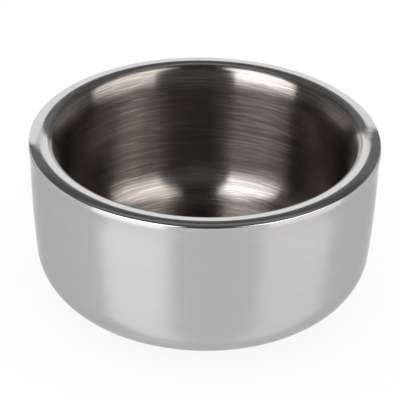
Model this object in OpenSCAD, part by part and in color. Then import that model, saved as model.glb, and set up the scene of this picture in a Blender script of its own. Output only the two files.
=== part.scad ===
// Double-walled stainless bowl for one dog: a brushed food cup hung by its rolled rim in a
// polished outer shell, closed underneath by a welded plate and standing on a rubber ring.
// Millimetres, +Z up, the origin on the ground under the bowl's axis.

/* [Overall] */
// Diameter over the rolled rim
rim_d = 130; // [110:1:200]
// Height from the ground to the crest of the rim
bowl_h = 63; // [52:1:90]

/* [Food cup] */
// Sheet thickness of the food cup
cup_t = 0.5; // [0.4:0.05:0.8]
// Lean of the cup wall away from upright, in degrees
cup_tilt = 3; // [1:0.5:8]
// Inside radius between the cup's floor and wall
cup_corner_r = 16; // [8:1:20]
// Radius that opens the wall towards the rim
flare_r = 16; // [8:1:20]
// Lean of the flare where it meets the rim, in degrees
flare_tilt = 30; // [20:1:40]
// Straight stretch between the flare and the rim
flare_run = 0.6; // [0.2:0.1:3]

/* [Rolled rim] */
// Width of the rim from its inner corner to its outer face
lip_w = 8.2; // [7.9:0.1:12]
// Distance from the crest of the rim to its outer face
crest_in = 3.95; // [3.7:0.05:4.2]
// Fall of the rim from its crest towards the food, in degrees
lip_slope = 13; // [11:1:14]
// Fall of the rim from its crest towards the outside, in degrees
edge_slope = 14; // [11:1:15]
// Radius over the crest
crest_r = 11.5; // [8:0.5:12]
// Radius of the rim's inner edge
lip_inner_r = 3; // [1.5:0.1:3.1]
// Radius of the rim's outer edge
lip_outer_r = 0.9; // [0.7:0.05:0.9]
// Lean of the outer face below that edge, in degrees
edge_lean = 12; // [8:1:14]
// Straight stretch of the outer face below that edge
face_run = 0.45; // [0.1:0.05:0.5]
// Radius that brings the outer face upright
edge_face_r = 6; // [2:0.5:6.5]
// Upright edge that the rim turns down outside the top of the shell
skirt_h = 0.4; // [0.3:0.1:3]
// Height of the polished weld below that edge
rim_weld_h = 1.6; // [0.4:0.1:2]

/* [Outer shell] */
// Sheet thickness of the outer shell
shell_t = 0.6; // [0.4:0.05:0.9]
// Lean that the bowed shell wall reaches above the corner, in degrees
shell_lean = 5; // [2:0.5:7]
// Straight stretch between the bowed wall and the corner
wall_run = 0.4; // [0.2:0.1:2]
// Outside radius between the shell's wall and base
shell_corner_r = 18.5; // [12:0.5:24]
// Flat land between that radius and the ring's groove
base_land = 2.6; // [2:0.1:6]
// Depth of the ring's groove above the land
groove_depth = 2.8; // [2.6:0.1:4]
// Height of the shell's inner flange above the land
flange_lift = 0.9; // [0.7:0.1:1.1]
// Width of that flange
flange_w = 5.4; // [4.5:0.1:8]
// Radius of the small bends in the base
base_bend_r = 1; // [0.95:0.05:1.1]

/* [Base plate] */
// Sheet thickness of the base plate
plate_t = 0.6; // [0.4:0.05:0.9]
// Rise of the plate's dished middle above its edge
dish_rise = 2; // [1.4:0.1:3]
// Slope of the side of the dish, in degrees
dish_slope = 40; // [30:1:45]
// Clearance between the side of the dish and the shell's opening
dish_gap = 0.6; // [0.3:0.1:1]
// Width of the stiffening bead
bead_w = 5; // [4:0.1:6]
// Depth of the stiffening bead
bead_depth = 0.7; // [0.5:0.1:0.9]
// Height of the weld round the plate
base_weld_h = 0.5; // [0.3:0.05:0.55]
// Free height between the plate's middle and the cup's floor
floor_gap = 4; // [3:0.5:12]

/* [Vent plug] */
// Radius of the vent hole, which the stem fills
vent_r = 1.6; // [1.2:0.1:2.5]
// Radius of the plug's head
plug_head_r = 3.2; // [3:0.1:5]
// Thickness of the plug's head
plug_head_h = 0.9; // [0.6:0.1:1.2]
// Length of the barb inside the air gap
plug_barb_h = 1.4; // [1:0.1:2]
// How far the barb stands proud of the stem
plug_barb_out = 0.4; // [0.2:0.1:0.8]

/* [Foot ring] */
// Width of the rubber ring
ring_w = 6; // [5:0.1:8]
// How far the ring stands proud of the shell's base
ring_proud = 1.2; // [0.8:0.1:3]
// Running space at each side of the ring in its groove
ring_gap = 0.15; // [0.05:0.05:0.4]
// Rounding of the ring's edges and of the groove's inner corners
ring_round_r = 0.6; // [0.3:0.1:0.7]
// Width of each grip channel in the ring's underside
channel_w = 0.7; // [0.4:0.1:1]
// Depth of each grip channel
channel_depth = 0.4; // [0.2:0.1:0.6]
// Number of grip channels
channels = 2; // [1:1:2]

/* [Hidden] */

$fn = 180;
arc_step = 6; // degrees between the points of a bend
least_steps = 4; // pieces of the slightest bend
quarter = 90;

// Height levels of the base, from the ground up
base_z = ring_proud;
groove_top_z = base_z + groove_depth;
flange_z = base_z + flange_lift;
plate_z = flange_z - plate_t;
dish_z = plate_z + dish_rise;
cup_floor_z = dish_z + plate_t + floor_gap + cup_t;

// Rim, worked out from the outer face inwards
rim_r = rim_d / 2;
crest_reach = reach(crest_r, lip_slope + edge_slope);
apex_x = rim_r - crest_in - crest_r * sin(lip_slope) + crest_reach * cos(lip_slope);
apex_z = bowl_h - crest_r * (1 - cos(lip_slope)) + crest_reach * sin(lip_slope);
lip_inner_x = rim_r - lip_w;
lip_corner_z = apex_z - (apex_x - lip_inner_x) * tan(lip_slope);
face_len = reach(lip_outer_r, quarter - edge_slope - edge_lean) + face_run
    + reach(edge_face_r, edge_lean);
edge_x = rim_r - face_len * sin(edge_lean);
edge_z = apex_z - (edge_x - apex_x) * tan(edge_slope);
face_z = edge_z - face_len * cos(edge_lean);
upright_z = face_z - reach(edge_face_r, edge_lean);
skirt_z = upright_z - skirt_h;
weld_foot_z = skirt_z - rim_weld_h;

// Cup wall below the rim
flare_len = reach(flare_r, flare_tilt - cup_tilt) + flare_run
    + reach(lip_inner_r, quarter - flare_tilt - lip_slope);
flare_x = lip_inner_x - flare_len * sin(flare_tilt);
flare_z = lip_corner_z - flare_len * cos(flare_tilt);
cup_floor_x = flare_x - (flare_z - cup_floor_z) * tan(cup_tilt);

// Shell wall, which starts behind the rim's turned-down edge and bows in below the weld
shell_top_r = rim_r - cup_t;
corner_reach = reach(shell_corner_r, quarter - shell_lean);
bow_foot_z = base_z + (corner_reach + wall_run) * cos(shell_lean);
bow_r = (weld_foot_z - bow_foot_z) / sin(shell_lean);
bow_z = weld_foot_z - reach(bow_r, shell_lean);
shell_foot_x = shell_top_r - (bow_z - base_z) * tan(shell_lean);

// Groove, flange and plate, worked out from the shell's corner inwards
land_x = shell_foot_x - corner_reach;
groove_out_x = land_x - base_land;
groove_in_x = groove_out_x - ring_w - 2 * ring_gap;
opening_r = groove_in_x - flange_w;
plate_r = groove_in_x - base_bend_r - base_weld_h;
dish_run = dish_rise / tan(dish_slope);
dish_foot_x = opening_r - dish_gap - reach(base_bend_r, dish_slope);
dish_top_x = dish_foot_x - dish_run;
bead_at_r = (plug_head_r + dish_top_x) / 2;
bead_run = bead_depth / tan(dish_slope);

// Distance from a corner to where a bend of radius r through the angle a starts
function reach(r, a) = r * tan(a / 2);

// Small helpers for points and directions in the plane of the outline
function unit(v) = v / norm(v);
function left_of(v) = [-v.y, v.x];
function turned(v, a) = [v.x * cos(a) - v.y * sin(a), v.x * sin(a) + v.y * cos(a)];
function turn(u, v) = atan2(u.x * v.y - u.y * v.x, u.x * v.x + u.y * v.y);
function place(corner) = [corner.x, corner.y];
function reversed(points) = [for (i = [len(points) - 1 : -1 : 0]) points[i]];

// Direction from corner i to the next, going round from the last corner to the first
function heading(corners, i) =
    let (n = len(corners))
    unit(place(corners[(i + 1) % n]) - place(corners[(i + n) % n]));

// Points of the bend at corner i, set off to the left by side. Each corner is [x, y, radius].
function bend(corners, i, side = 0) =
    let (
        u = heading(corners, i - 1),
        a = turn(u, heading(corners, i)),
        way = sign(a),
        r = corners[i].z,
        middle = place(corners[i]) - u * reach(r, abs(a)) + way * r * left_of(u),
        steps = max(least_steps, ceil(abs(a) / arc_step))
    )
    [for (j = [0 : steps]) middle - (way * r - side) * turned(left_of(u), a * j / steps)];

// Closed outline with a bend at every corner
function rounded(corners) = [for (i = [0 : len(corners) - 1]) each bend(corners, i)];

// One face of a sheet that is bent at each corner but the first and last
function face(corners, side) =
    let (last = len(corners) - 1)
    [
        place(corners[0]) + side * left_of(heading(corners, 0)),
        for (i = [1 : last - 1]) each bend(corners, i, side),
        place(corners[last]) + side * left_of(heading(corners, last - 1))
    ];

// Pressed sheet of even thickness, turned about the axis. The corners follow one of its faces,
// and the thickness lies to the left of their line.
module pressed_sheet(corners, thickness) {
    rotate_extrude()
        polygon(concat(face(corners, 0), reversed(face(corners, thickness))));
}

// Food cup with its rolled rim. The corners follow the side that the food touches.
module inner_bowl() {
    color("silver")
        pressed_sheet([
            [0, cup_floor_z, 0],
            [cup_floor_x, cup_floor_z, cup_corner_r],
            [flare_x, flare_z, flare_r],
            [lip_inner_x, lip_corner_z, lip_inner_r],
            [apex_x, apex_z, crest_r],
            [edge_x, edge_z, lip_outer_r],
            [rim_r, face_z, edge_face_r],
            [rim_r, skirt_z, 0]
        ], -cup_t);
}

// Outer shell with the ring's groove and the flange for the plate. The corners follow its outside.
module outer_shell() {
    color("gainsboro")
        pressed_sheet([
            [opening_r, flange_z, 0],
            [groove_in_x, flange_z, base_bend_r],
            [groove_in_x, groove_top_z, ring_round_r],
            [groove_out_x, groove_top_z, ring_round_r],
            [groove_out_x, base_z, base_bend_r],
            [shell_foot_x, base_z, shell_corner_r],
            [shell_top_r, bow_z, bow_r],
            [shell_top_r, upright_z, 0]
        ], shell_t);
}

// Polished bead that fills the step below the rim's turned-down edge
module rim_weld() {
    color("silver")
        rotate_extrude()
            polygon([[shell_top_r, skirt_z], [shell_top_r, weld_foot_z], [rim_r, skirt_z]]);
}

// Plate that closes the base, with a dished middle and one stiffening bead round the vent hole
module base_plate() {
    bead_in_x = bead_at_r - bead_w / 2;
    bead_out_x = bead_at_r + bead_w / 2;
    color("lightgray")
        pressed_sheet([
            [vent_r, dish_z, 0],
            [bead_in_x, dish_z, base_bend_r],
            [bead_in_x + bead_run, dish_z - bead_depth, base_bend_r],
            [bead_out_x - bead_run, dish_z - bead_depth, base_bend_r],
            [bead_out_x, dish_z, base_bend_r],
            [dish_top_x, dish_z, base_bend_r],
            [dish_foot_x, plate_z, base_bend_r],
            [plate_r, plate_z, 0]
        ], plate_t);
}

// Fillet weld between the plate's edge and the shell's flange
module base_weld() {
    color("darkgray")
        rotate_extrude()
            polygon([
                [plate_r, flange_z],
                [plate_r, flange_z - base_weld_h],
                [plate_r + base_weld_h, flange_z]
            ]);
}

// Plug pushed into the vent hole: head below the plate, stem through it and barb above it
module vent_plug() {
    head_round_r = plug_head_h / 2;
    color("dimgray")
        union() {
            translate([0, 0, dish_z - plug_head_h])
                cylinder(h = head_round_r, r1 = plug_head_r - head_round_r, r2 = plug_head_r);
            translate([0, 0, dish_z - head_round_r])
                cylinder(h = head_round_r, r = plug_head_r);
            translate([0, 0, dish_z])
                cylinder(h = plate_t, r = vent_r);
            translate([0, 0, dish_z + plate_t])
                cylinder(h = plug_barb_h, r1 = vent_r + plug_barb_out, r2 = vent_r - plug_barb_out);
        }
}

// Rubber ring that the bowl stands on, with grip channels in its underside
module foot_ring() {
    low_x = groove_in_x + ring_gap;
    high_x = groove_out_x - ring_gap;
    pitch = ring_w / (channels + 1);
    color("#202022")
        rotate_extrude()
            difference() {
                polygon(rounded([
                    [low_x, 0, ring_round_r],
                    [high_x, 0, ring_round_r],
                    [high_x, groove_top_z, ring_round_r],
                    [low_x, groove_top_z, ring_round_r]
                ]));
                for (i = [1 : channels])
                    translate([low_x + pitch * i - channel_w / 2, -channel_depth])
                        square([channel_w, 2 * channel_depth]);
            }
}

inner_bowl();
outer_shell();
rim_weld();
base_plate();
base_weld();
vent_plug();
foot_ring();
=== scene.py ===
"""Looks of a double-walled stainless bowl for one dog.

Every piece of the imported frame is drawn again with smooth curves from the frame's own
sizes and gets its finish: a brushed cup under a polished rolled rim, a polished
shell, the welded base with its plug, and the rubber ring. A small studio lights it.
"""

import logging
import math
from dataclasses import dataclass
from enum import Enum
from typing import Sequence, Union

import bmesh
import bpy
from bmesh.types import BMesh, BMVert
from bpy.types import Material, Node, NodeSocket, NodeTree, Object
from mathutils import Matrix, Vector


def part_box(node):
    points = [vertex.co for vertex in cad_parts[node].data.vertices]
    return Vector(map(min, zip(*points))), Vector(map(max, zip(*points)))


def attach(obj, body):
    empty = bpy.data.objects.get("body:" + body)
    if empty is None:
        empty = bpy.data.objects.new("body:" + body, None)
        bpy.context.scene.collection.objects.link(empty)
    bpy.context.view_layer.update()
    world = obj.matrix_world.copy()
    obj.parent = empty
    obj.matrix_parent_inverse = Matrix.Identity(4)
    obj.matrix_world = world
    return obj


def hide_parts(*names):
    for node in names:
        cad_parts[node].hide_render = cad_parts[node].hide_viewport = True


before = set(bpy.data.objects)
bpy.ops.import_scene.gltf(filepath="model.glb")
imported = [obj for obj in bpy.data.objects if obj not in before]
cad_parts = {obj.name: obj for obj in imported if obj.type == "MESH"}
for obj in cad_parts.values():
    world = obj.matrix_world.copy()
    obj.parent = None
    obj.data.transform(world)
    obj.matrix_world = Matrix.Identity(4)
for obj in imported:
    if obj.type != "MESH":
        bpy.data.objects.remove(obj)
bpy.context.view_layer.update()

log = logging.getLogger("dog_bowl")

# Steps in a full turn, and the doublings that fill it from one sector
SIDES = 256
DOUBLINGS = 3
# Steps along an outline: the longest, and in a bend the widest, shortest and fewest
STRETCH = 0.003
BEND_STEP = math.radians(3.5)
FINEST = 0.00008
LEAST_STEPS = 4
# Short piece at each end of a straight stretch
HOLD = 0.00015
# Distance within which vertices are merged, and angle from which edges stay sharp
MERGE = 1e-7
SHARP = math.radians(28)
# Radius within which no pattern runs round the axis
PATTERN_CORE = 0.00015
QUARTER = math.radians(90)
HALF_TURN_DEGREES = 180.0
AXIS = Vector((0, 0, 1))
DRAWING_AXIS = Vector((0, -1, 0))
# A panel's top falls with this power of the distance from its middle, in reaches
ARCH_REACH = 20.0
ARCH_POWER = 3.0

Socket = Union[NodeSocket, float, int, Sequence[float]]
Colour = tuple[float, float, float]
Span = tuple[float, float]

# Parts of a noise's range over which a pattern fades in
HAIRLINES: Span = (0.35, 0.75)
BRUSH_HAZE: Span = (0.3, 0.7)
BRUSH_SHADE: Span = (0.35, 0.65)
STRAY_LINES: Span = (0.56, 0.66)
SPECKLE: Span = (0.3, 0.7)
DULL_SPOTS: Span = (0.35, 0.7)
PALE_SPOTS: Span = (0.4, 0.75)


class Facing(Enum):
    """Where the drawn face of a turned sheet looks at its outermost ring."""

    OUT = "away from the axis"
    DOWN = "towards the ground"


@dataclass(frozen=True)
class Corner:
    """A corner of an outline in the XZ plane, in metres.

    Attributes:
        x: Distance from the bowl's axis.
        z: Height above the ground.
        radius: Radius of the bend there, or zero for a sharp corner.
    """

    x: float
    z: float
    radius: float = 0.0

    def at(self) -> Vector:
        """Gives the corner as a point in space."""
        return Vector((self.x, 0, self.z))


def reach(radius: float, angle: float) -> float:
    """Gives the distance from a corner to the start of its bend of so many radians."""
    return radius * math.tan(angle / 2)


def direction(start: Vector, end: Vector) -> Vector:
    """Gives the unit vector from one point to another."""
    return (end - start).normalized()


def left_of(way: Vector) -> Vector:
    """Turns a direction in the XZ plane a quarter to the left."""
    return Vector((-way.z, 0, way.x))


class Pen:
    """Draws an outline in the XZ plane by extruding and spinning one vertex."""

    def __init__(self, bm: BMesh, start: Vector) -> None:
        """Puts the first vertex of an outline into a mesh."""
        self.bm = bm
        self.tip = bmesh.ops.create_vert(bm, co=start)["vert"][0]

    def line_to(self, end: Vector) -> None:
        """Extrudes the tip along a straight stretch.

        A short piece at each end of the stretch keeps the shading of the bends off it.

        Args:
            end: Where the stretch ends.
        """
        start = self.tip.co.copy()
        length = (end - start).length
        if length < MERGE:
            return
        pieces = max(1, math.ceil(length / STRETCH))
        shares = [i / pieces for i in range(1, pieces + 1)]
        if length > 3 * HOLD:
            shares = sorted({HOLD / length, 1 - HOLD / length, *shares})
        for share in shares:
            self.tip = bmesh.ops.extrude_vert_indiv(self.bm, verts=[self.tip])["verts"][0]
            self.tip.co = start.lerp(end, share)

    def bend(self, centre: Vector, angle: float) -> None:
        """Spins the tip about a centre, anticlockwise with +X to the right and +Z up.

        Args:
            centre: Centre of the bend.
            angle: Angle to spin through, in radians.
        """
        length = (self.tip.co - centre).length * abs(angle)
        steps = max(
            LEAST_STEPS, math.ceil(length / STRETCH),
            min(math.ceil(abs(angle) / BEND_STEP), math.ceil(length / FINEST)),
        )
        made = bmesh.ops.spin(
            self.bm, geom=[self.tip], cent=centre, axis=DRAWING_AXIS, angle=angle, steps=steps
        )
        self.tip = next(g for g in made["geom_last"] if isinstance(g, BMVert))

    def follow(self, corners: Sequence[Corner]) -> None:
        """Draws along corners, bending at each one but the first and last.

        Args:
            corners: The corners, of which the pen stands on the first.
        """
        for before, corner, after in zip(corners, corners[1:], corners[2:]):
            coming = direction(before.at(), corner.at())
            going = direction(corner.at(), after.at())
            turn = math.atan2(coming.x * going.z - coming.z * going.x, coming.dot(going))
            self.line_to(corner.at() - coming * reach(corner.radius, abs(turn)))
            if corner.radius:
                centre = self.tip.co + left_of(coming) * math.copysign(corner.radius, turn)
                self.bend(centre, turn)
        self.line_to(corners[-1].at())


def turn_about_axis(bm: BMesh, sides: int = SIDES) -> None:
    """Spins a drawn outline into a full turn and closes its seam and poles.

    The spin makes one sector, which is then doubled until the turn is full. That is much
    faster than one long spin.

    Args:
        bm: Mesh that holds the outline alone.
        sides: Number of steps in the turn.
    """
    sector = math.tau / 2 ** DOUBLINGS
    bmesh.ops.spin(
        bm, geom=bm.verts[:] + bm.edges[:], cent=Vector(), axis=AXIS,
        angle=sector, steps=sides // 2 ** DOUBLINGS,
    )
    for doubling in range(DOUBLINGS):
        everything = bm.verts[:] + bm.edges[:] + bm.faces[:]
        copies = bmesh.ops.duplicate(bm, geom=everything)["geom"]
        verts = [part for part in copies if isinstance(part, BMVert)]
        turn = Matrix.Rotation(sector * 2 ** doubling, 3, AXIS)
        bmesh.ops.rotate(bm, verts=verts, cent=Vector(), matrix=turn)
    bmesh.ops.remove_doubles(bm, verts=bm.verts, dist=MERGE)
    bmesh.ops.recalc_face_normals(bm, faces=bm.faces)


def turned(corners: Sequence[Corner], sides: int = SIDES) -> BMesh:
    """Turns an outline about the axis, into a solid if it closes on itself or on the axis.

    Args:
        corners: Corners of the outline.
        sides: Number of steps in the turn.

    Returns:
        The mesh.
    """
    bm = bmesh.new()
    Pen(bm, corners[0].at()).follow(corners)
    turn_about_axis(bm, sides)
    return bm


def pressed_sheet(
    corners: Sequence[Corner], thickness: float, facing: Facing = Facing.OUT
) -> BMesh:
    """Makes a turned sheet of even thickness, which is added behind its drawn face.

    Args:
        corners: Corners of the drawn face of the sheet.
        thickness: Thickness of the sheet.
        facing: Where the drawn face looks at its outermost ring.

    Returns:
        The closed mesh.
    """
    bm = turned(corners)
    outermost = max(bm.faces, key=lambda face: face.calc_center_median().xy.length)
    middle = outermost.calc_center_median()
    way = Vector((middle.x, middle.y, 0)) if facing is Facing.OUT else -AXIS
    if outermost.normal.dot(way) < 0:
        bmesh.ops.reverse_faces(bm, faces=bm.faces)
    bmesh.ops.solidify(bm, geom=bm.faces[:], thickness=thickness)
    return bm


def placed(bm: BMesh, name: str, finishes: Sequence[Material]) -> Object:
    """Puts a mesh into the scene.

    Args:
        bm: The mesh, which is freed.
        name: Name of the object.
        finishes: Its materials, in the order of its faces' indices.

    Returns:
        The new object.
    """
    mesh = bpy.data.meshes.new(name)
    bm.to_mesh(mesh)
    bm.free()
    for finish in finishes:
        mesh.materials.append(finish)
    made = bpy.data.objects.new(name, mesh)
    bpy.context.scene.collection.objects.link(made)
    return made


def finished_piece(bm: BMesh, name: str, node: str, slot: str, *finishes: Material) -> Object:
    """Turns a mesh into a piece that stands for a node of the frame.

    Args:
        bm: Mesh of the piece, which is freed.
        name: Name of the piece.
        node: Node of the frame that the piece replaces.
        slot: Material slot of the piece in the record; not used.
        finishes: Its materials, in the order of its faces' indices.

    Returns:
        The new object.
    """
    for face in bm.faces:
        face.smooth = True
    for edge in bm.edges:
        edge.smooth = edge.calc_face_angle(0.0) < SHARP
    piece = placed(bm, name, finishes)
    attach(piece, "root")
    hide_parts(node)
    return piece


class Graph:
    """Adds nodes to a tree and links them."""

    def __init__(self, tree: NodeTree) -> None:
        """Takes the tree of a material or a world and empties it."""
        self.tree = tree
        tree.nodes.clear()

    def feed(self, socket: NodeSocket, value: Socket) -> None:
        """Gives a socket its value, or a link if the value is another node's socket.

        Args:
            socket: The socket.
            value: Its plain value or the other socket.
        """
        if isinstance(value, NodeSocket):
            self.tree.links.new(value, socket)
        else:
            socket.default_value = value

    def node(self, kind: str, inputs: dict[Union[str, int], Socket], **settings: object) -> Node:
        """Adds one node.

        Args:
            kind: Type of the node without its ShaderNode prefix.
            inputs: What goes into its sockets, by name or number.
            settings: Its own settings.

        Returns:
            The node.
        """
        made = self.tree.nodes.new("ShaderNode" + kind)
        for name, value in settings.items():
            setattr(made, name, value)
        for key, value in inputs.items():
            self.feed(made.inputs[key], value)
        return made

    def result(
        self, kind: str, inputs: dict[Union[str, int], Socket], **settings: object
    ) -> NodeSocket:
        """Adds one node and gives its first output."""
        return self.node(kind, inputs, **settings).outputs[0]

    def math(self, operation: str, *values: Socket) -> NodeSocket:
        """Adds a Math node and gives its result."""
        return self.result("Math", dict(enumerate(values)), operation=operation)

    def smooth(
        self, value: Socket, low: float, high: float, start: float = 0.0, end: float = 1.0
    ) -> NodeSocket:
        """Maps a value smoothly from between low and high to between start and end."""
        inputs = dict(enumerate((value, low, high, start, end)))
        return self.result("MapRange", inputs, interpolation_type="SMOOTHSTEP")

    def blend(self, share: Socket, first: Socket, second: Socket) -> NodeSocket:
        """Mixes two colours.

        Args:
            share: Share of the second colour, from 0 to 1.
            first: The first colour.
            second: The second colour.

        Returns:
            The socket with the mixed colour.
        """
        mix = self.node("Mix", {0: share}, data_type="RGBA", clamp_factor=True)
        for key, value in (("A_Color", first), ("B_Color", second)):
            self.feed(next(s for s in mix.inputs if s.identifier == key), value)
        return next(s for s in mix.outputs if s.identifier == "Result_Color")

    def noise(self, place: Socket, scale: float, detail: float, rough: float = 0.5) -> NodeSocket:
        """Adds a Noise Texture and gives its value."""
        inputs = {"Vector": place, "Scale": scale, "Detail": detail, "Roughness": rough}
        return self.result("TexNoise", inputs)

    def relief(self, height: Socket, depth: float, strength: float = 1.0) -> NodeSocket:
        """Adds a Bump node and gives its normal."""
        return self.result("Bump", {"Strength": strength, "Distance": depth, "Height": height})


def opaque(colour: Colour, strength: float = 1.0) -> tuple[float, float, float, float]:
    """Gives a colour with its alpha, times a strength."""
    return (colour[0] * strength, colour[1] * strength, colour[2] * strength, 1.0)


class FinishGraph(Graph):
    """Graph of a finish, with coordinates that run round the bowl's axis."""

    def __init__(self, name: str) -> None:
        """Makes the finish's material with an empty tree.

        Args:
            name: Name of the material.
        """
        self.material = bpy.data.materials.new(name)
        self.material.use_nodes = True
        super().__init__(self.material.node_tree)

    def place(self) -> NodeSocket:
        """Gives the plain Object coordinates."""
        return self.node("TexCoord", {}).outputs["Object"]

    def vector(self, operation: str, *values: Socket) -> Node:
        """Adds a Vector Math node."""
        return self.node("VectorMath", dict(enumerate(values)), operation=operation)

    def radius(self) -> NodeSocket:
        """Gives the distance from the axis."""
        flat = self.vector("MULTIPLY", self.place(), (1, 1, 0)).outputs[0]
        return self.vector("LENGTH", flat).outputs["Value"]

    def tangent(self) -> NodeSocket:
        """Gives the direction round the axis."""
        cross = self.vector("CROSS_PRODUCT", tuple(AXIS), self.place()).outputs[0]
        return self.vector("NORMALIZE", cross).outputs[0]

    def lines(self, pitch: float, cells: float, detail: float) -> NodeSocket:
        """Draws a noise out into lines round the axis.

        Args:
            pitch: Width of one line.
            cells: How many cells of the noise go into one radian of a turn.
            detail: Detail of the noise.

        Returns:
            The socket with the noise.
        """
        split = self.node("SeparateXYZ", {0: self.place()}).outputs
        radius = self.math("MAXIMUM", self.radius(), PATTERN_CORE)
        across = self.math("DIVIDE", self.math("ADD", radius, split[2]), pitch)
        round_x, round_y = (
            self.math("MULTIPLY", self.math("DIVIDE", side, radius), cells)
            for side in (split[0], split[1])
        )
        place = self.result("CombineXYZ", {0: round_x, 1: round_y, 2: across})
        return self.noise(place, 1, detail)

    def surface(self, inputs: dict[str, Socket]) -> Material:
        """Adds the shader of the surface and gives the finished material."""
        self.node("OutputMaterial", {0: self.result("BsdfPrincipled", inputs)})
        return self.material


@dataclass(frozen=True)
class PolishedSteel:
    """Mirror-polished sheet with the slight waves and hairlines that pressing leaves.

    Attributes:
        name: Name of the material.
        tint: Colour of its reflections.
        edge_tint: Share of its reflections that is left at a grazing angle.
        roughness: Least roughness.
        haze: Roughness that the hairlines add.
        wave_size: Size of the sheet's waves.
        wave_height: Height of those waves.
        line_pitch: Width of one hairline.
        band_pitch: Width of the bands of darker and lighter metal.
        band_shades: Brightness of the darkest and the lightest bands.
    """

    name: str
    tint: Colour = (0.535, 0.527, 0.532)
    edge_tint: float = 0.78
    roughness: float = 0.07
    haze: float = 0.05
    wave_size: float = 0.022
    wave_height: float = 0.00003
    line_pitch: float = 0.0004
    band_pitch: float = 0.004
    band_shades: Span = (0.97, 1.02)

    def material(self) -> Material:
        """Builds the material.

        Returns:
            The new material.
        """
        graph = FinishGraph(self.name)
        lines = graph.lines(self.line_pitch, cells=4, detail=3)
        waves = graph.noise(graph.place(), 1 / self.wave_size, detail=1)
        bands = graph.lines(self.band_pitch, cells=2, detail=2)
        darkest, lightest = (opaque(self.tint, shade) for shade in self.band_shades)
        return graph.surface({
            "Base Color": graph.blend(bands, darkest, lightest),
            "Metallic": 1.0,
            "Roughness": graph.smooth(
                lines, *HAIRLINES, self.roughness, self.roughness + self.haze
            ),
            "Specular Tint": opaque((self.edge_tint,) * 3),
            "Normal": graph.relief(waves, self.wave_height),
        })


@dataclass(frozen=True)
class BrushedSteel:
    """Sheet brushed round the axis, which smears its reflections across the lines.

    Attributes:
        name: Name of the material.
        tint: Colour of its reflections.
        roughness: Roughness between the deepest lines.
        scatter: Roughness that the lines add.
        stretch: How far the reflections are smeared, from 0 to 1.
        smear_turn: Part of a turn from the lines to the smear.
        line_pitch: Width of the fine lines.
        line_depth: Depth of the fine lines.
        band_pitch: Width of the broader bands of lines.
        contrast: How much lighter and darker than the tint the lines are.
        stray_pitch: Width of the stray lines that catch more light.
        stray_shine: How much lighter those are.
    """

    name: str
    tint: Colour = (0.30, 0.276, 0.258)
    roughness: float = 0.21
    scatter: float = 0.02
    stretch: float = 1.0
    smear_turn: float = 0.25
    line_pitch: float = 0.0003
    line_depth: float = 0.0000015
    band_pitch: float = 0.0012
    contrast: float = 0.20
    stray_pitch: float = 0.0005
    stray_shine: float = 1.5

    def material(self) -> Material:
        """Builds the material.

        Returns:
            The new material.
        """
        graph = FinishGraph(self.name)
        fine = graph.lines(self.line_pitch, cells=2, detail=2)
        bands = graph.lines(self.band_pitch, cells=1, detail=3)
        both = graph.math("MULTIPLY", graph.math("ADD", fine, bands), 0.5)
        tint = graph.blend(
            graph.smooth(both, *BRUSH_SHADE),
            opaque(self.tint, 1 - self.contrast), opaque(self.tint, 1 + self.contrast),
        )
        stray = graph.smooth(graph.lines(self.stray_pitch, cells=4, detail=2), *STRAY_LINES)
        return graph.surface({
            "Base Color": graph.blend(stray, tint, opaque(self.tint, self.stray_shine)),
            "Metallic": 1.0,
            "Roughness": graph.smooth(
                both, *BRUSH_HAZE, self.roughness, self.roughness + self.scatter
            ),
            "Anisotropic": self.stretch,
            "Anisotropic Rotation": self.smear_turn,
            "Tangent": graph.tangent(),
            "Normal": graph.relief(fine, self.line_depth),
        })


@dataclass(frozen=True)
class WeldMetal:
    """Weld bead, clean in the middle and tinted by heat towards its edges.

    Attributes:
        name: Name of the material.
        middle: Radius of the bead's crown.
        half_width: Distance from the crown to the edges.
        metal: Colour of the bead.
        heat: Colour of the tinted edges.
        heat_span: Where the tint begins and is full, in half widths from the crown.
        fray_share: How far the speckle shifts it, as a share of the half width.
        roughness: Least roughness of the bead.
        scatter: Roughness that the speckle adds.
        speckles: Speckles in a metre.
        speckle_depth: Depth of the speckle.
    """

    name: str
    middle: float
    half_width: float
    metal: Colour = (0.50, 0.48, 0.46)
    heat: Colour = (0.42, 0.33, 0.22)
    heat_span: Span = (0.6, 1.5)
    fray_share: float = 1 / 3
    roughness: float = 0.34
    scatter: float = 0.15
    speckles: float = 2600
    speckle_depth: float = 0.00003

    def material(self) -> Material:
        """Builds the material.

        Returns:
            The new material.
        """
        graph = FinishGraph(self.name)
        away = graph.math("ABSOLUTE", graph.math("SUBTRACT", graph.radius(), self.middle))
        speckle = graph.noise(graph.place(), self.speckles, detail=3)
        shift = graph.math("MULTIPLY", speckle, self.half_width * self.fray_share)
        start, full = (self.half_width * share for share in self.heat_span)
        edge = graph.smooth(graph.math("ADD", away, shift), start, full)
        return graph.surface({
            "Base Color": graph.blend(edge, opaque(self.metal), opaque(self.heat)),
            "Metallic": 1.0,
            "Roughness": graph.smooth(
                speckle, *SPECKLE, self.roughness, self.roughness + self.scatter
            ),
            "Normal": graph.relief(speckle, self.speckle_depth, strength=0.6),
        })


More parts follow.
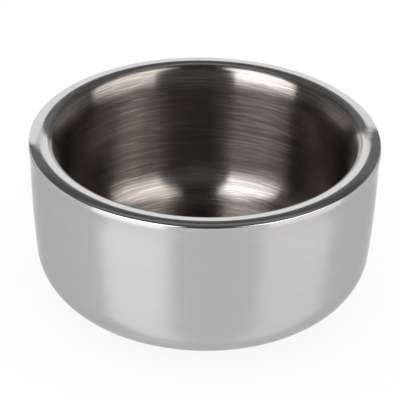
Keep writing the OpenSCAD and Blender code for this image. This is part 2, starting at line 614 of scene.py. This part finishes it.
@dataclass(frozen=True)
class MouldedSurface:
    """Moulded plastic or rubber with a fine grain and spots of wear.

    Attributes:
        name: Name of the material.
        colour: Its colour.
        roughness: Least roughness.
        grain: Size of the grain.
        grain_depth: Depth of the grain.
        shine: Level of its reflections.
        wear_spots: Spots of wear in a metre.
        wear_dullness: Roughness that they add.
        wear_paleness: How much lighter they are.
    """

    name: str
    colour: Colour
    roughness: float
    grain: float
    grain_depth: float
    shine: float
    wear_spots: float = 140
    wear_dullness: float = 0.18
    wear_paleness: float = 1.9

    def material(self) -> Material:
        """Builds the material.

        Returns:
            The new material.
        """
        graph = FinishGraph(self.name)
        grain = graph.noise(graph.place(), 1 / self.grain, detail=4, rough=0.6)
        wear = graph.noise(graph.place(), self.wear_spots, detail=3)
        pale = opaque(self.colour, self.wear_paleness)
        return graph.surface({
            "Base Color": graph.blend(graph.smooth(wear, *PALE_SPOTS), opaque(self.colour), pale),
            "Roughness": graph.smooth(
                wear, *DULL_SPOTS, self.roughness, self.roughness + self.wear_dullness
            ),
            "Specular IOR Level": self.shine,
            "Normal": graph.relief(grain, self.grain_depth, strength=0.7),
        })


@dataclass(frozen=True)
class FoodCup:
    """Inner cup with its rolled rim, in one sheet.

    Attributes:
        rim_r: Radius over the rim.
        crest_z: Height of the rim's crest.
        floor_z: Height of the floor inside the cup.
        skirt_z: Height of the lower edge of the rim's outer face.
        sheet: Thickness of the sheet.
        wall_tilt: Lean of the wall away from upright.
        corner_r: Radius between floor and wall.
        flare_r: Radius that opens the wall towards the rim.
        flare_tilt: Lean of the flare where it meets the rim.
        flare_run: Straight stretch between the flare and the rim.
        lip_w: Width of the rim from its inner corner to its outer face.
        crest_in: Distance from the crest of the rim to its outer face.
        lip_slope: Fall of the rim from its crest towards the middle.
        edge_slope: Fall of the rim from its crest towards the outside.
        crest_r: Radius over the crest.
        lip_inner_r: Radius of the rim's inner edge.
        edge_round_r: Radius that leads from the rim down to the crease of its outer edge.
        edge_back: How far the rim's slope stops short of the outer corner.
        crease_drop: How far the crease lies below that corner along the outer face.
        crease_r: Radius of the crease.
        edge_lean: Lean of the outer face below the crease.
        face_len: Length of the leaning face from the outer corner down.
        face_r: Radius over the widest ring of the outer face.
        tuck: Lean of the outer face back towards the shell below that ring.
    """

    rim_r: float
    crest_z: float
    floor_z: float
    skirt_z: float
    sheet: float = 0.0005
    wall_tilt: float = math.radians(3)
    corner_r: float = 0.016
    flare_r: float = 0.016
    flare_tilt: float = math.radians(30)
    flare_run: float = 0.0006
    lip_w: float = 0.0082
    crest_in: float = 0.00395
    lip_slope: float = math.radians(13)
    edge_slope: float = math.radians(14)
    crest_r: float = 0.0115
    lip_inner_r: float = 0.003
    edge_round_r: float = 0.0009
    edge_back: float = 0.00021
    crease_drop: float = 0.00022
    crease_r: float = 0.0003
    edge_lean: float = math.radians(12)
    face_len: float = 0.00164
    face_r: float = 0.0038
    tuck: float = math.radians(8)

    def apex(self) -> Corner:
        """Works out where the rim's two slopes would meet.

        Returns:
            The corner there.
        """
        crest_reach = reach(self.crest_r, self.lip_slope + self.edge_slope)
        across = crest_reach * math.cos(self.lip_slope) - self.crest_r * math.sin(self.lip_slope)
        dip = self.crest_r * (1 - math.cos(self.lip_slope))
        return Corner(
            self.rim_r - self.crest_in + across,
            self.crest_z + crest_reach * math.sin(self.lip_slope) - dip, self.crest_r,
        )

    def inner_edge(self) -> Corner:
        """Gives the rim's inner corner."""
        apex, x = self.apex(), self.rim_r - self.lip_w
        return Corner(x, apex.z - (apex.x - x) * math.tan(self.lip_slope), self.lip_inner_r)

    def outer_edge(self) -> list[Corner]:
        """Works out the rim's outer edge.

        Returns:
            The corners of its rounded shoulder, its crease and its outer face.
        """
        apex = self.apex()
        lean_x, lean_z = math.sin(self.edge_lean), math.cos(self.edge_lean)
        x = self.rim_r - self.face_len * lean_x
        z = apex.z - (x - apex.x) * math.tan(self.edge_slope)
        back_x = self.edge_back * math.cos(self.edge_slope)
        back_z = self.edge_back * math.sin(self.edge_slope)
        turn = (self.edge_lean + self.tuck) / 2
        proud = self.face_r * (math.cos((self.edge_lean - self.tuck) / 2) / math.cos(turn) - 1)
        bend_x = self.rim_r + proud
        return [
            Corner(x - back_x, z + back_z, self.edge_round_r),
            Corner(x + self.crease_drop * lean_x, z - self.crease_drop * lean_z, self.crease_r),
            Corner(bend_x, z - (bend_x - x) / math.tan(self.edge_lean), self.face_r),
        ]

    def skirt(self) -> Corner:
        """Gives the lower edge of the outer face."""
        bend = self.outer_edge()[-1]
        return Corner(bend.x - (bend.z - self.skirt_z) * math.tan(self.tuck), self.skirt_z)

    def lip_reach(self) -> float:
        """Gives the distance from the rim's inner corner to the start of its bend."""
        return reach(self.lip_inner_r, QUARTER - self.flare_tilt - self.lip_slope)

    def corners(self) -> list[Corner]:
        """Works out the upper side of the sheet.

        Returns:
            Its corners, from the axis out.
        """
        inner = self.inner_edge()
        flare_reach = reach(self.flare_r, self.flare_tilt - self.wall_tilt)
        flare_len = flare_reach + self.flare_run + self.lip_reach()
        flare_x = inner.x - flare_len * math.sin(self.flare_tilt)
        flare_z = inner.z - flare_len * math.cos(self.flare_tilt)
        foot_x = flare_x - (flare_z - self.floor_z) * math.tan(self.wall_tilt)
        return [
            Corner(0, self.floor_z),
            Corner(foot_x, self.floor_z, self.corner_r),
            Corner(flare_x, flare_z, self.flare_r),
            inner,
            self.apex(),
            *self.outer_edge(),
            self.skirt(),
        ]

    def polish_r(self) -> float:
        """Gives the radius beyond which the sheet is polished instead of brushed."""
        return self.inner_edge().x + self.lip_reach() * math.cos(self.lip_slope)

    def build(self, brushed: Material, polished: Material) -> Object:
        """Makes the cup.

        Args:
            brushed: Finish of the cup's inside.
            polished: Finish of the rim.

        Returns:
            The new object.
        """
        bm = pressed_sheet(self.corners(), self.sheet)
        polish_r = self.polish_r()
        for face in bm.faces:
            face.material_index = int(face.calc_center_median().xy.length > polish_r)
        return finished_piece(bm, "food_cup", "inner_bowl", "brushed_cup", brushed, polished)


@dataclass(frozen=True)
class OuterShell:
    """Polished shell with a bowed wall, the ring's groove and the flange for the base plate.

    Attributes:
        top_r: Radius of the shell's upright top.
        top_z: Height of its top edge.
        bow_top_z: Height below which the wall bows inwards.
        base_z: Height of the base's flat land.
        groove_in_x: Inner radius of the groove.
        groove_out_x: Outer radius of the groove.
        groove_top_z: Height of the groove's ceiling.
        flange_z: Height of the flange's underside.
        flange_w: Width of the flange.
        sheet: Thickness of the sheet.
        lean: Lean that the bowed wall reaches above the corner.
        wall_run: Straight stretch between the bowed wall and the corner.
        corner_r: Outside radius between wall and base.
        base_bend_r: Radius of the small bends in the base.
        groove_round_r: Radius of the groove's inner corners.
    """

    top_r: float
    top_z: float
    bow_top_z: float
    base_z: float
    groove_in_x: float
    groove_out_x: float
    groove_top_z: float
    flange_z: float
    flange_w: float = 0.0054
    sheet: float = 0.0006
    lean: float = math.radians(5)
    wall_run: float = 0.0004
    corner_r: float = 0.0185
    base_bend_r: float = 0.001
    groove_round_r: float = 0.0006

    def opening_r(self) -> float:
        """Gives the radius of the opening inside the flange."""
        return self.groove_in_x - self.flange_w

    def corners(self) -> list[Corner]:
        """Works out the shell's outside.

        Returns:
            Its corners, from the opening out and up.
        """
        straight = reach(self.corner_r, QUARTER - self.lean) + self.wall_run
        bow_foot_z = self.base_z + straight * math.cos(self.lean)
        bow_r = (self.bow_top_z - bow_foot_z) / math.sin(self.lean)
        bow_z = self.bow_top_z - reach(bow_r, self.lean)
        foot_x = self.top_r - (bow_z - self.base_z) * math.tan(self.lean)
        return [
            Corner(self.opening_r(), self.flange_z),
            Corner(self.groove_in_x, self.flange_z, self.base_bend_r),
            Corner(self.groove_in_x, self.groove_top_z, self.groove_round_r),
            Corner(self.groove_out_x, self.groove_top_z, self.groove_round_r),
            Corner(self.groove_out_x, self.base_z, self.base_bend_r),
            Corner(foot_x, self.base_z, self.corner_r),
            Corner(self.top_r, bow_z, bow_r),
            Corner(self.top_r, self.top_z),
        ]

    def build(self, polished: Material) -> Object:
        """Makes the shell in its polished finish."""
        bm = pressed_sheet(self.corners(), self.sheet)
        return finished_piece(bm, "polished_shell", "outer_shell", "polished_shell", polished)


@dataclass(frozen=True)
class RimWeld:
    """Weld below the rim's turned-down edge, ground and polished to run out into the wall.

    Attributes:
        edge: Lower edge of the rim's outer face.
        tuck: Lean of the rim's outer face there.
        shell_r: Radius of the shell's wall behind it.
    """

    edge: Corner
    tuck: float
    shell_r: float

    def hollow_r(self) -> float:
        """Gives the radius of the hollow that leads from the rim into the wall."""
        return (self.edge.x - self.shell_r) / (1 - math.cos(self.tuck))

    def foot_z(self) -> float:
        """Gives the height at which the weld runs out into the wall."""
        return self.edge.z - self.hollow_r() * math.sin(self.tuck)

    def build(self, polished: Material) -> Object:
        """Makes the weld.

        Args:
            polished: Its finish.

        Returns:
            The new object.
        """
        top = Vector((self.shell_r, 0, self.edge.z))
        foot = Vector((self.shell_r, 0, self.foot_z()))
        bm = bmesh.new()
        pen = Pen(bm, top)
        pen.line_to(foot)
        pen.bend(foot + Vector((self.hollow_r(), 0, 0)), -self.tuck)
        pen.line_to(top)
        turn_about_axis(bm)
        return finished_piece(bm, "rim_seam", "rim_weld", "polished_weld", polished)


@dataclass(frozen=True)
class BasePlate:
    """Plate that closes the base, with a dished middle and one bead round its vent hole.

    Attributes:
        edge_r: Radius of the plate.
        edge_z: Height of its edge's underside.
        dish_z: Height of the dished middle's underside.
        opening_r: Radius of the shell's opening that the dish stands in.
        plug_head_r: Radius of the plug's head.
        vent_r: Radius of the vent hole.
        dish_gap: Clearance between the side of the dish and the opening.
        sheet: Thickness of the sheet.
        dish_slope: Slope of the side of the dish.
        bend_r: Radius of its bends.
        bead_w: Width of the bead.
        bead_depth: Depth of the bead.
    """

    edge_r: float
    edge_z: float
    dish_z: float
    opening_r: float
    plug_head_r: float
    vent_r: float = 0.0016
    dish_gap: float = 0.0006
    sheet: float = 0.0006
    dish_slope: float = math.radians(40)
    bend_r: float = 0.001
    bead_w: float = 0.005
    bead_depth: float = 0.0007

    def corners(self) -> list[Corner]:
        """Works out the plate's underside.

        Returns:
            Its corners, from the vent hole out.
        """
        dish_foot_x = self.opening_r - self.dish_gap - reach(self.bend_r, self.dish_slope)
        dish_top_x = dish_foot_x - (self.dish_z - self.edge_z) / math.tan(self.dish_slope)
        bead_run = self.bead_depth / math.tan(self.dish_slope)
        bead_in_x = (self.plug_head_r + dish_top_x - self.bead_w) / 2
        bead_out_x = bead_in_x + self.bead_w
        bead_z = self.dish_z - self.bead_depth
        return [
            Corner(self.vent_r, self.dish_z),
            Corner(bead_in_x, self.dish_z, self.bend_r),
            Corner(bead_in_x + bead_run, bead_z, self.bend_r),
            Corner(bead_out_x - bead_run, bead_z, self.bend_r),
            Corner(bead_out_x, self.dish_z, self.bend_r),
            Corner(dish_top_x, self.dish_z, self.bend_r),
            Corner(dish_foot_x, self.edge_z, self.bend_r),
            Corner(self.edge_r, self.edge_z),
        ]

    def build(self, satin: Material) -> Object:
        """Makes the plate in its satin finish."""
        bm = pressed_sheet(self.corners(), self.sheet, Facing.DOWN)
        return finished_piece(bm, "closing_plate", "base_plate", "satin_plate", satin)


@dataclass(frozen=True)
class BaseWeld:
    """Rippled weld round the base plate.

    Attributes:
        plate_r: Radius of the plate's edge that the weld runs along.
        flange_z: Height of the flange's underside that it sits on.
        leg: Length of the weld's two legs.
        ripples: Number of ripples round the bowl.
        steps_per_ripple: Steps of the turn in each ripple.
        ripple_share: Depth of a ripple as a share of the bead's throat.
        lag: How far the middle of a ripple lags behind its ends, in ripples.
    """

    plate_r: float
    flange_z: float
    leg: float
    ripples: int = 128
    steps_per_ripple: int = 6
    ripple_share: float = 0.22
    lag: float = 0.45

    def crown_r(self) -> float:
        """Gives the radius of the weld's crown."""
        return self.plate_r + self.leg / 2

    def build(self, metal: Material) -> Object:
        """Makes the weld, with each ripple pressed into its face.

        Args:
            metal: Its finish.

        Returns:
            The new object.
        """
        root = Vector((self.plate_r, 0, self.flange_z))
        low = root - Vector((0, 0, self.leg))
        out = root + Vector((self.leg, 0, 0))
        way = direction(low, out)
        waist = (low + out) / 2
        angle = 2 * math.asin((out - low).length / 2 / self.leg)
        bm = bmesh.new()
        pen = Pen(bm, root)
        pen.line_to(low)
        pen.bend(waist + left_of(way) * self.leg * math.cos(angle / 2), angle)
        pen.line_to(root)
        turn_about_axis(bm, self.ripples * self.steps_per_ripple)
        throat = self.leg / math.sqrt(2)
        for vert in bm.verts:
            outline = Vector((vert.co.xy.length, 0, vert.co.z))
            if (outline - root).length <= throat / 2:
                continue
            turn = math.atan2(vert.co.y, vert.co.x)
            along = turn / math.tau * self.ripples
            across = min(abs((outline - waist).dot(way)) / throat, 1)
            wave = 0.5 + 0.5 * math.cos(math.tau * (along + self.lag * across * across))
            outline += direction(outline, root) * throat * self.ripple_share * wave * (1 - across)
            vert.co = Matrix.Rotation(turn, 3, "Z") @ outline
        return finished_piece(bm, "weld_bead", "base_weld", "weld_metal", metal)


@dataclass(frozen=True)
class VentPlug:
    """Plug pushed into the vent hole, with a rounded head and a dimple from its mould.

    Attributes:
        head_r: Radius of the head.
        foot_z: Height of the head's lowest face.
        seat_z: Height of the plate's underside that the head lies against.
        plate_top_z: Height of the plate's top.
        barb_top_z: Height of the barb's tip.
        stem_r: Radius of the stem.
        barb_out: How far the barb stands proud of the stem.
        edge_r: Rounding of the head's edge.
        dimple_r: Radius of the dimple.
        dimple_depth: Depth of the dimple.
        sides: Number of steps in its turn.
    """

    head_r: float
    foot_z: float
    seat_z: float
    plate_top_z: float
    barb_top_z: float
    stem_r: float
    barb_out: float = 0.0004
    edge_r: float = 0.00035
    dimple_r: float = 0.0011
    dimple_depth: float = 0.00025
    sides: int = SIDES // 4

    def build(self, plastic: Material) -> Object:
        """Makes the plug.

        Args:
            plastic: Its finish.

        Returns:
            The new object.
        """
        dimple_z = self.foot_z + self.dimple_depth
        bm = turned([
            Corner(0, dimple_z),
            Corner(self.dimple_r - self.dimple_depth, dimple_z, self.dimple_depth),
            Corner(self.dimple_r, self.foot_z, self.dimple_depth / 2),
            Corner(self.head_r, self.foot_z, self.edge_r),
            Corner(self.head_r, self.seat_z),
            Corner(self.stem_r, self.seat_z),
            Corner(self.stem_r, self.plate_top_z),
            Corner(self.stem_r + self.barb_out, self.plate_top_z),
            Corner(self.stem_r - self.barb_out, self.barb_top_z),
            Corner(0, self.barb_top_z),
        ], self.sides)
        return finished_piece(bm, "vent_stopper", "vent_plug", "plug_plastic", plastic)


@dataclass(frozen=True)
class FootRing:
    """Rubber ring that the bowl stands on, with grip channels in its underside.

    Attributes:
        outer_r: Outer radius of the ring.
        top_z: Height of the ring's top in its groove.
        width: Width of the ring.
        gap: Running space at each side of the ring in its groove.
        round_r: Rounding of its edges.
        channels: Number of grip channels.
        channel_w: Width of a channel.
        channel_depth: Depth of a channel.
        channel_round_r: Rounding of the channels' edges.
    """

    outer_r: float
    top_z: float
    width: float = 0.006
    gap: float = 0.00015
    round_r: float = 0.0006
    channels: int = 2
    channel_w: float = 0.0007
    channel_depth: float = 0.0004
    channel_round_r: float = 0.00012

    def inner_r(self) -> float:
        """Gives the inner radius of the ring."""
        return self.outer_r - self.width

    def build(self, rubber: Material) -> Object:
        """Makes the ring.

        Args:
            rubber: Its finish.

        Returns:
            The new object.
        """
        side_z = self.top_z / 2
        corners = [Corner(self.inner_r(), side_z), Corner(self.inner_r(), 0, self.round_r)]
        pitch = self.width / (self.channels + 1)
        for i in range(1, self.channels + 1):
            left = self.inner_r() + pitch * i - self.channel_w / 2
            right = left + self.channel_w
            corners += [
                Corner(left, 0, self.channel_round_r),
                Corner(left, self.channel_depth, self.channel_round_r),
                Corner(right, self.channel_depth, self.channel_round_r),
                Corner(right, 0, self.channel_round_r),
            ]
        corners += [
            Corner(self.outer_r, 0, self.round_r),
            Corner(self.outer_r, self.top_z, self.round_r),
            Corner(self.inner_r(), self.top_z, self.round_r),
            Corner(self.inner_r(), side_z),
        ]
        bm = turned(corners)
        return finished_piece(bm, "grip_ring", "foot_ring", "foot_rubber", rubber)


@dataclass(frozen=True)
class Panel:
    """A lit or dark area round the bowl, seen from the bowl, in degrees.

    Attributes:
        azimuth: Direction of its middle, from the camera's side round to the right.
        elevation: Height of its middle above the horizon.
        width: Its width.
        height: Its height.
        softness: Width of its blurred edges.
        strength: Its brightness.
        colour: Its colour.
        fall: How far its top falls at the arch's reach from its middle.
        foot_softness: Width of its blurred lower edge, or zero if it is like the others.
    """

    azimuth: float
    elevation: float
    width: float
    height: float
    softness: float
    strength: float
    colour: Colour = (1.0, 1.0, 1.0)
    fall: float = 0.0
    foot_softness: float = 0.0

    def over(self, sky: "SkyGraph", behind: Socket) -> NodeSocket:
        """Lays the panel over what is behind it.

        Args:
            sky: Graph of the world.
            behind: Colour behind the panel.

        Returns:
            The colour with the panel in it.
        """
        offset = sky.math("SUBTRACT", sky.azimuth, self.azimuth)
        turn = sky.math("WRAP", offset, HALF_TURN_DEGREES, -HALF_TURN_DEGREES)
        aside = sky.math("ABSOLUTE", turn)
        height = sky.elevation
        if self.fall:
            share = sky.math("DIVIDE", aside, ARCH_REACH)
            fall = sky.math("MULTIPLY", sky.math("POWER", share, ARCH_POWER), self.fall)
            height = sky.math("ADD", height, fall)
        soft = self.softness / 2
        foot_soft = (self.foot_softness or self.softness) / 2
        side = self.width / 2
        top = self.elevation + self.height / 2
        foot = self.elevation - self.height / 2
        across = sky.smooth(aside, side - soft, side + soft, 1.0, 0.0)
        below_top = sky.smooth(height, top - soft, top + soft, 1.0, 0.0)
        above_foot = sky.smooth(height, foot - foot_soft, foot + foot_soft)
        cover = sky.math("MULTIPLY", across, sky.math("MULTIPLY", below_top, above_foot))
        return sky.blend(cover, behind, opaque(self.colour, self.strength))


class SkyGraph(Graph):
    """Graph of the world, with the azimuth and elevation of each direction in degrees."""

    def __init__(self, tree: NodeTree) -> None:
        """Works both out from the direction.

        Args:
            tree: Node tree of the world.
        """
        super().__init__(tree)
        way = self.node("TexCoord", {}).outputs["Generated"]
        split = self.node("SeparateXYZ", {0: way}).outputs
        front = self.math("MULTIPLY", split[1], -1.0)
        self.azimuth = self.math("DEGREES", self.math("ARCTAN2", split[0], front))
        self.elevation = self.math("DEGREES", self.math("ARCSINE", split[2]))


@dataclass(frozen=True)
class Studio:
    """Pale floor and soft light, with panels for the steel to mirror.

    Attributes:
        panels: The panels, those in front last.
        room: Brightness of the room between the panels.
        pale: Colour of the backdrop and the floor.
        daylight: Brightness of the soft light all round.
        floor_half: Half the width of the floor.
        floor_glow: Brightness of the floor in the steel.
        floor_gloss: How strongly the floor mirrors the panels.
        floor_grazing: How much more strongly it mirrors them at a grazing angle.
        floor_ior: Refractive index that sets how that grows.
        floor_rough: How blurred it mirrors them.
        floor_matte: Brightness of its matte surface.
        shadow_share: How much of the bowl's shadow shows on the floor.
    """

    panels: tuple[Panel, ...]
    room: float = 0.05
    pale: Colour = (1.0, 1.0, 1.0)
    daylight: float = 1.0
    floor_half: float = 3.0
    floor_glow: float = 0.79
    floor_gloss: float = 0.069
    floor_grazing: float = 0.70
    floor_ior: float = 1.5
    floor_rough: float = 0.27
    floor_matte: float = 0.98
    shadow_share: float = 0.12

    def light(self) -> None:
        """Makes the world: the panels for mirrored rays and an even light for all others."""
        world = bpy.data.worlds.new("soft_studio")
        world.use_nodes = True
        world.cycles.sampling_method = "NONE"
        sky = SkyGraph(world.node_tree)
        mirrored: Socket = opaque(self.pale, self.room)
        for panel in self.panels:
            mirrored = panel.over(sky, mirrored)
        glossy_ray = sky.node("LightPath", {}).outputs["Is Glossy Ray"]
        seen = sky.blend(glossy_ray, opaque(self.pale, self.daylight), mirrored)
        sky.node("OutputWorld", {0: sky.result("Background", {0: seen, 1: 1.0})})
        bpy.context.scene.world = world

    def lay_floor(self) -> None:
        """Makes the floor, which doesn't show from below."""
        graph = FinishGraph("pale_floor")
        matte = graph.result("BsdfDiffuse", {0: opaque(self.pale, self.floor_matte)})
        bright = graph.result("Emission", {0: opaque(self.pale), 1: 1.0})
        shown = graph.result("MixShader", {0: self.shadow_share, 1: bright, 2: matte})
        glow = graph.result("Emission", {0: opaque(self.pale), 1: self.floor_glow})
        fresnel = graph.result("Fresnel", {0: self.floor_ior})
        share = graph.math("MULTIPLY_ADD", fresnel, self.floor_grazing, self.floor_gloss)
        gloss = graph.result("BsdfGlossy", {0: share, 1: self.floor_rough})
        mirrored = graph.result("AddShader", {0: glow, 1: gloss})
        camera_ray = graph.node("LightPath", {}).outputs["Is Camera Ray"]
        top = graph.result("MixShader", {0: camera_ray, 1: mirrored, 2: shown})
        below = graph.result("BsdfTransparent", {})
        facing = graph.node("NewGeometry", {}).outputs["Backfacing"]
        both = graph.result("MixShader", {0: facing, 1: top, 2: below})
        graph.node("OutputMaterial", {0: both})
        bm = bmesh.new()
        bmesh.ops.create_grid(bm, x_segments=1, y_segments=1, size=self.floor_half)
        floor = placed(bm, "floor", [graph.material])


@dataclass(frozen=True)
class StudioCamera:
    """Camera at the photograph's place.

    Attributes:
        aim_z: Height on the bowl's axis that it looks at.
        distance: Distance from there.
        elevation: Its height above the horizon.
        roll: Its tilt to the left.
        lens: Focal length in millimetres.
        shift_x: Sideways shift of the frame.
        shift_y: Upward shift of the frame.
    """

    aim_z: float = 0.0312
    distance: float = 0.8
    elevation: float = math.radians(30.92)
    roll: float = math.radians(1.215)
    lens: float = 191.4
    shift_x: float = -0.0089
    shift_y: float = 0.02315

    def place(self) -> None:
        """Makes the camera and gives it to the scene."""
        data = bpy.data.cameras.new("photo_camera")
        data.lens = self.lens
        data.shift_x = self.shift_x
        data.shift_y = self.shift_y
        data.clip_start = self.distance / 100
        camera = bpy.data.objects.new("photo_camera", data)
        back = Vector((0, -math.cos(self.elevation), math.sin(self.elevation)))
        aim = Vector((0, 0, self.aim_z))
        turn = (-back).to_track_quat("-Z", "Y").to_matrix() @ Matrix.Rotation(self.roll, 3, "Z")
        camera.matrix_world = Matrix.Translation(aim + back * self.distance) @ turn.to_4x4()
        bpy.context.scene.collection.objects.link(camera)
        bpy.context.scene.camera = camera


SIDE_ROOM = Panel(azimuth=180, elevation=0, width=190, height=100, softness=30, strength=0.24)
CEILING = Panel(azimuth=180, elevation=62, width=150, height=64, softness=10, strength=0.12)
STRIP = Panel(azimuth=180, elevation=52, width=80, height=7, softness=4, strength=0.30)
COVE = Panel(azimuth=180, elevation=32, width=150, height=8, softness=6, strength=0.22)
FRONT_ROOM = Panel(azimuth=0, elevation=10, width=190, height=80, softness=10, strength=0.14)
FRONT_TOP = Panel(azimuth=0, elevation=85, width=190, height=70, softness=10, strength=0.04)
GAP = Panel(azimuth=185.5, elevation=0, width=80, height=61.9, softness=0.8, strength=0.02, fall=7)
BACKDROP = Panel(
    azimuth=185.5, elevation=0, width=76, height=59.4, softness=0.5, strength=1.3, fall=7
)
LEFT_SOFTBOX = Panel(
    azimuth=-46.8, elevation=42, width=49, height=64, softness=3, strength=4.1,
    colour=(0.98, 0.99, 1.0), foot_softness=20,
)
RIGHT_SOFTBOX = Panel(
    azimuth=67, elevation=42, width=54, height=64, softness=3, strength=2.5,
    colour=(1.0, 0.98, 0.95), foot_softness=20,
)
PANELS = (
    SIDE_ROOM, CEILING, STRIP, COVE, FRONT_ROOM, FRONT_TOP, GAP, BACKDROP,
    LEFT_SOFTBOX, RIGHT_SOFTBOX,
)


def main() -> None:
    """Builds the bowl, its studio and the camera, and reports each piece."""
    logging.basicConfig(level=logging.INFO, format="%(name)s: %(message)s")
    bpy.context.scene.view_settings.view_transform = "Standard"
    StudioCamera().place()
    studio = Studio(PANELS)
    studio.light()
    studio.lay_floor()

    cup_low, cup_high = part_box("inner_bowl")
    rim_low, rim_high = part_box("rim_weld")
    shell_low, shell_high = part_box("outer_shell")
    weld_low, weld_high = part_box("base_weld")
    plate_low, plate_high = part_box("base_plate")
    plug_low, plug_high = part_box("vent_plug")
    cup = FoodCup(
        rim_r=cup_high.x, crest_z=cup_high.z, floor_z=cup_low.z + FoodCup.sheet, skirt_z=rim_high.z
    )
    ring = FootRing(outer_r=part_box("foot_ring")[1].x, top_z=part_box("foot_ring")[1].z)
    weld = RimWeld(edge=cup.skirt(), tuck=cup.tuck, shell_r=cup.rim_r - cup.sheet)
    shell = OuterShell(
        top_r=weld.shell_r, top_z=shell_high.z, bow_top_z=rim_low.z, base_z=shell_low.z,
        groove_in_x=ring.inner_r() - ring.gap, groove_out_x=ring.outer_r + ring.gap,
        groove_top_z=ring.top_z, flange_z=weld_high.z,
    )
    plate = BasePlate(
        edge_r=plate_high.x, edge_z=plate_low.z, dish_z=plate_high.z - BasePlate.sheet,
        opening_r=shell.opening_r(), plug_head_r=plug_high.x,
    )
    bead = BaseWeld(plate_r=plate.edge_r, flange_z=weld_high.z, leg=weld_high.z - weld_low.z)
    plug = VentPlug(
        head_r=plug_high.x, foot_z=plug_low.z, seat_z=plate.dish_z,
        plate_top_z=plate.dish_z + plate.sheet, barb_top_z=plug_high.z, stem_r=plate.vent_r,
    )

    polished = PolishedSteel("polished_steel").material()
    rolled = PolishedSteel("polished_rim", wave_size=0.003, wave_height=0.000006).material()
    brushed = BrushedSteel("brushed_steel").material()
    satin = BrushedSteel(
        "satin_steel", tint=(0.52, 0.515, 0.51), roughness=0.30, stretch=0.6,
        contrast=0.05, stray_shine=1.12,
    ).material()
    metal = WeldMetal("weld_metal", middle=bead.crown_r(), half_width=bead.leg / 2).material()
    plastic = MouldedSurface(
        "plug_plastic", colour=(0.05, 0.05, 0.055), roughness=0.45,
        grain=0.0002, grain_depth=0.00001, shine=0.4,
    ).material()
    rubber = MouldedSurface(
        "foot_rubber", colour=(0.02, 0.02, 0.022), roughness=0.6,
        grain=0.00025, grain_depth=0.00002, shine=0.3,
    ).material()

    pieces = (
        cup.build(brushed, rolled), shell.build(polished), weld.build(polished),
        plate.build(satin), bead.build(metal), plug.build(plastic), ring.build(rubber),
    )
    for piece in pieces:
        log.info("%s: %d faces", piece.name, len(piece.data.polygons))


if __name__ == "__main__":
    main()
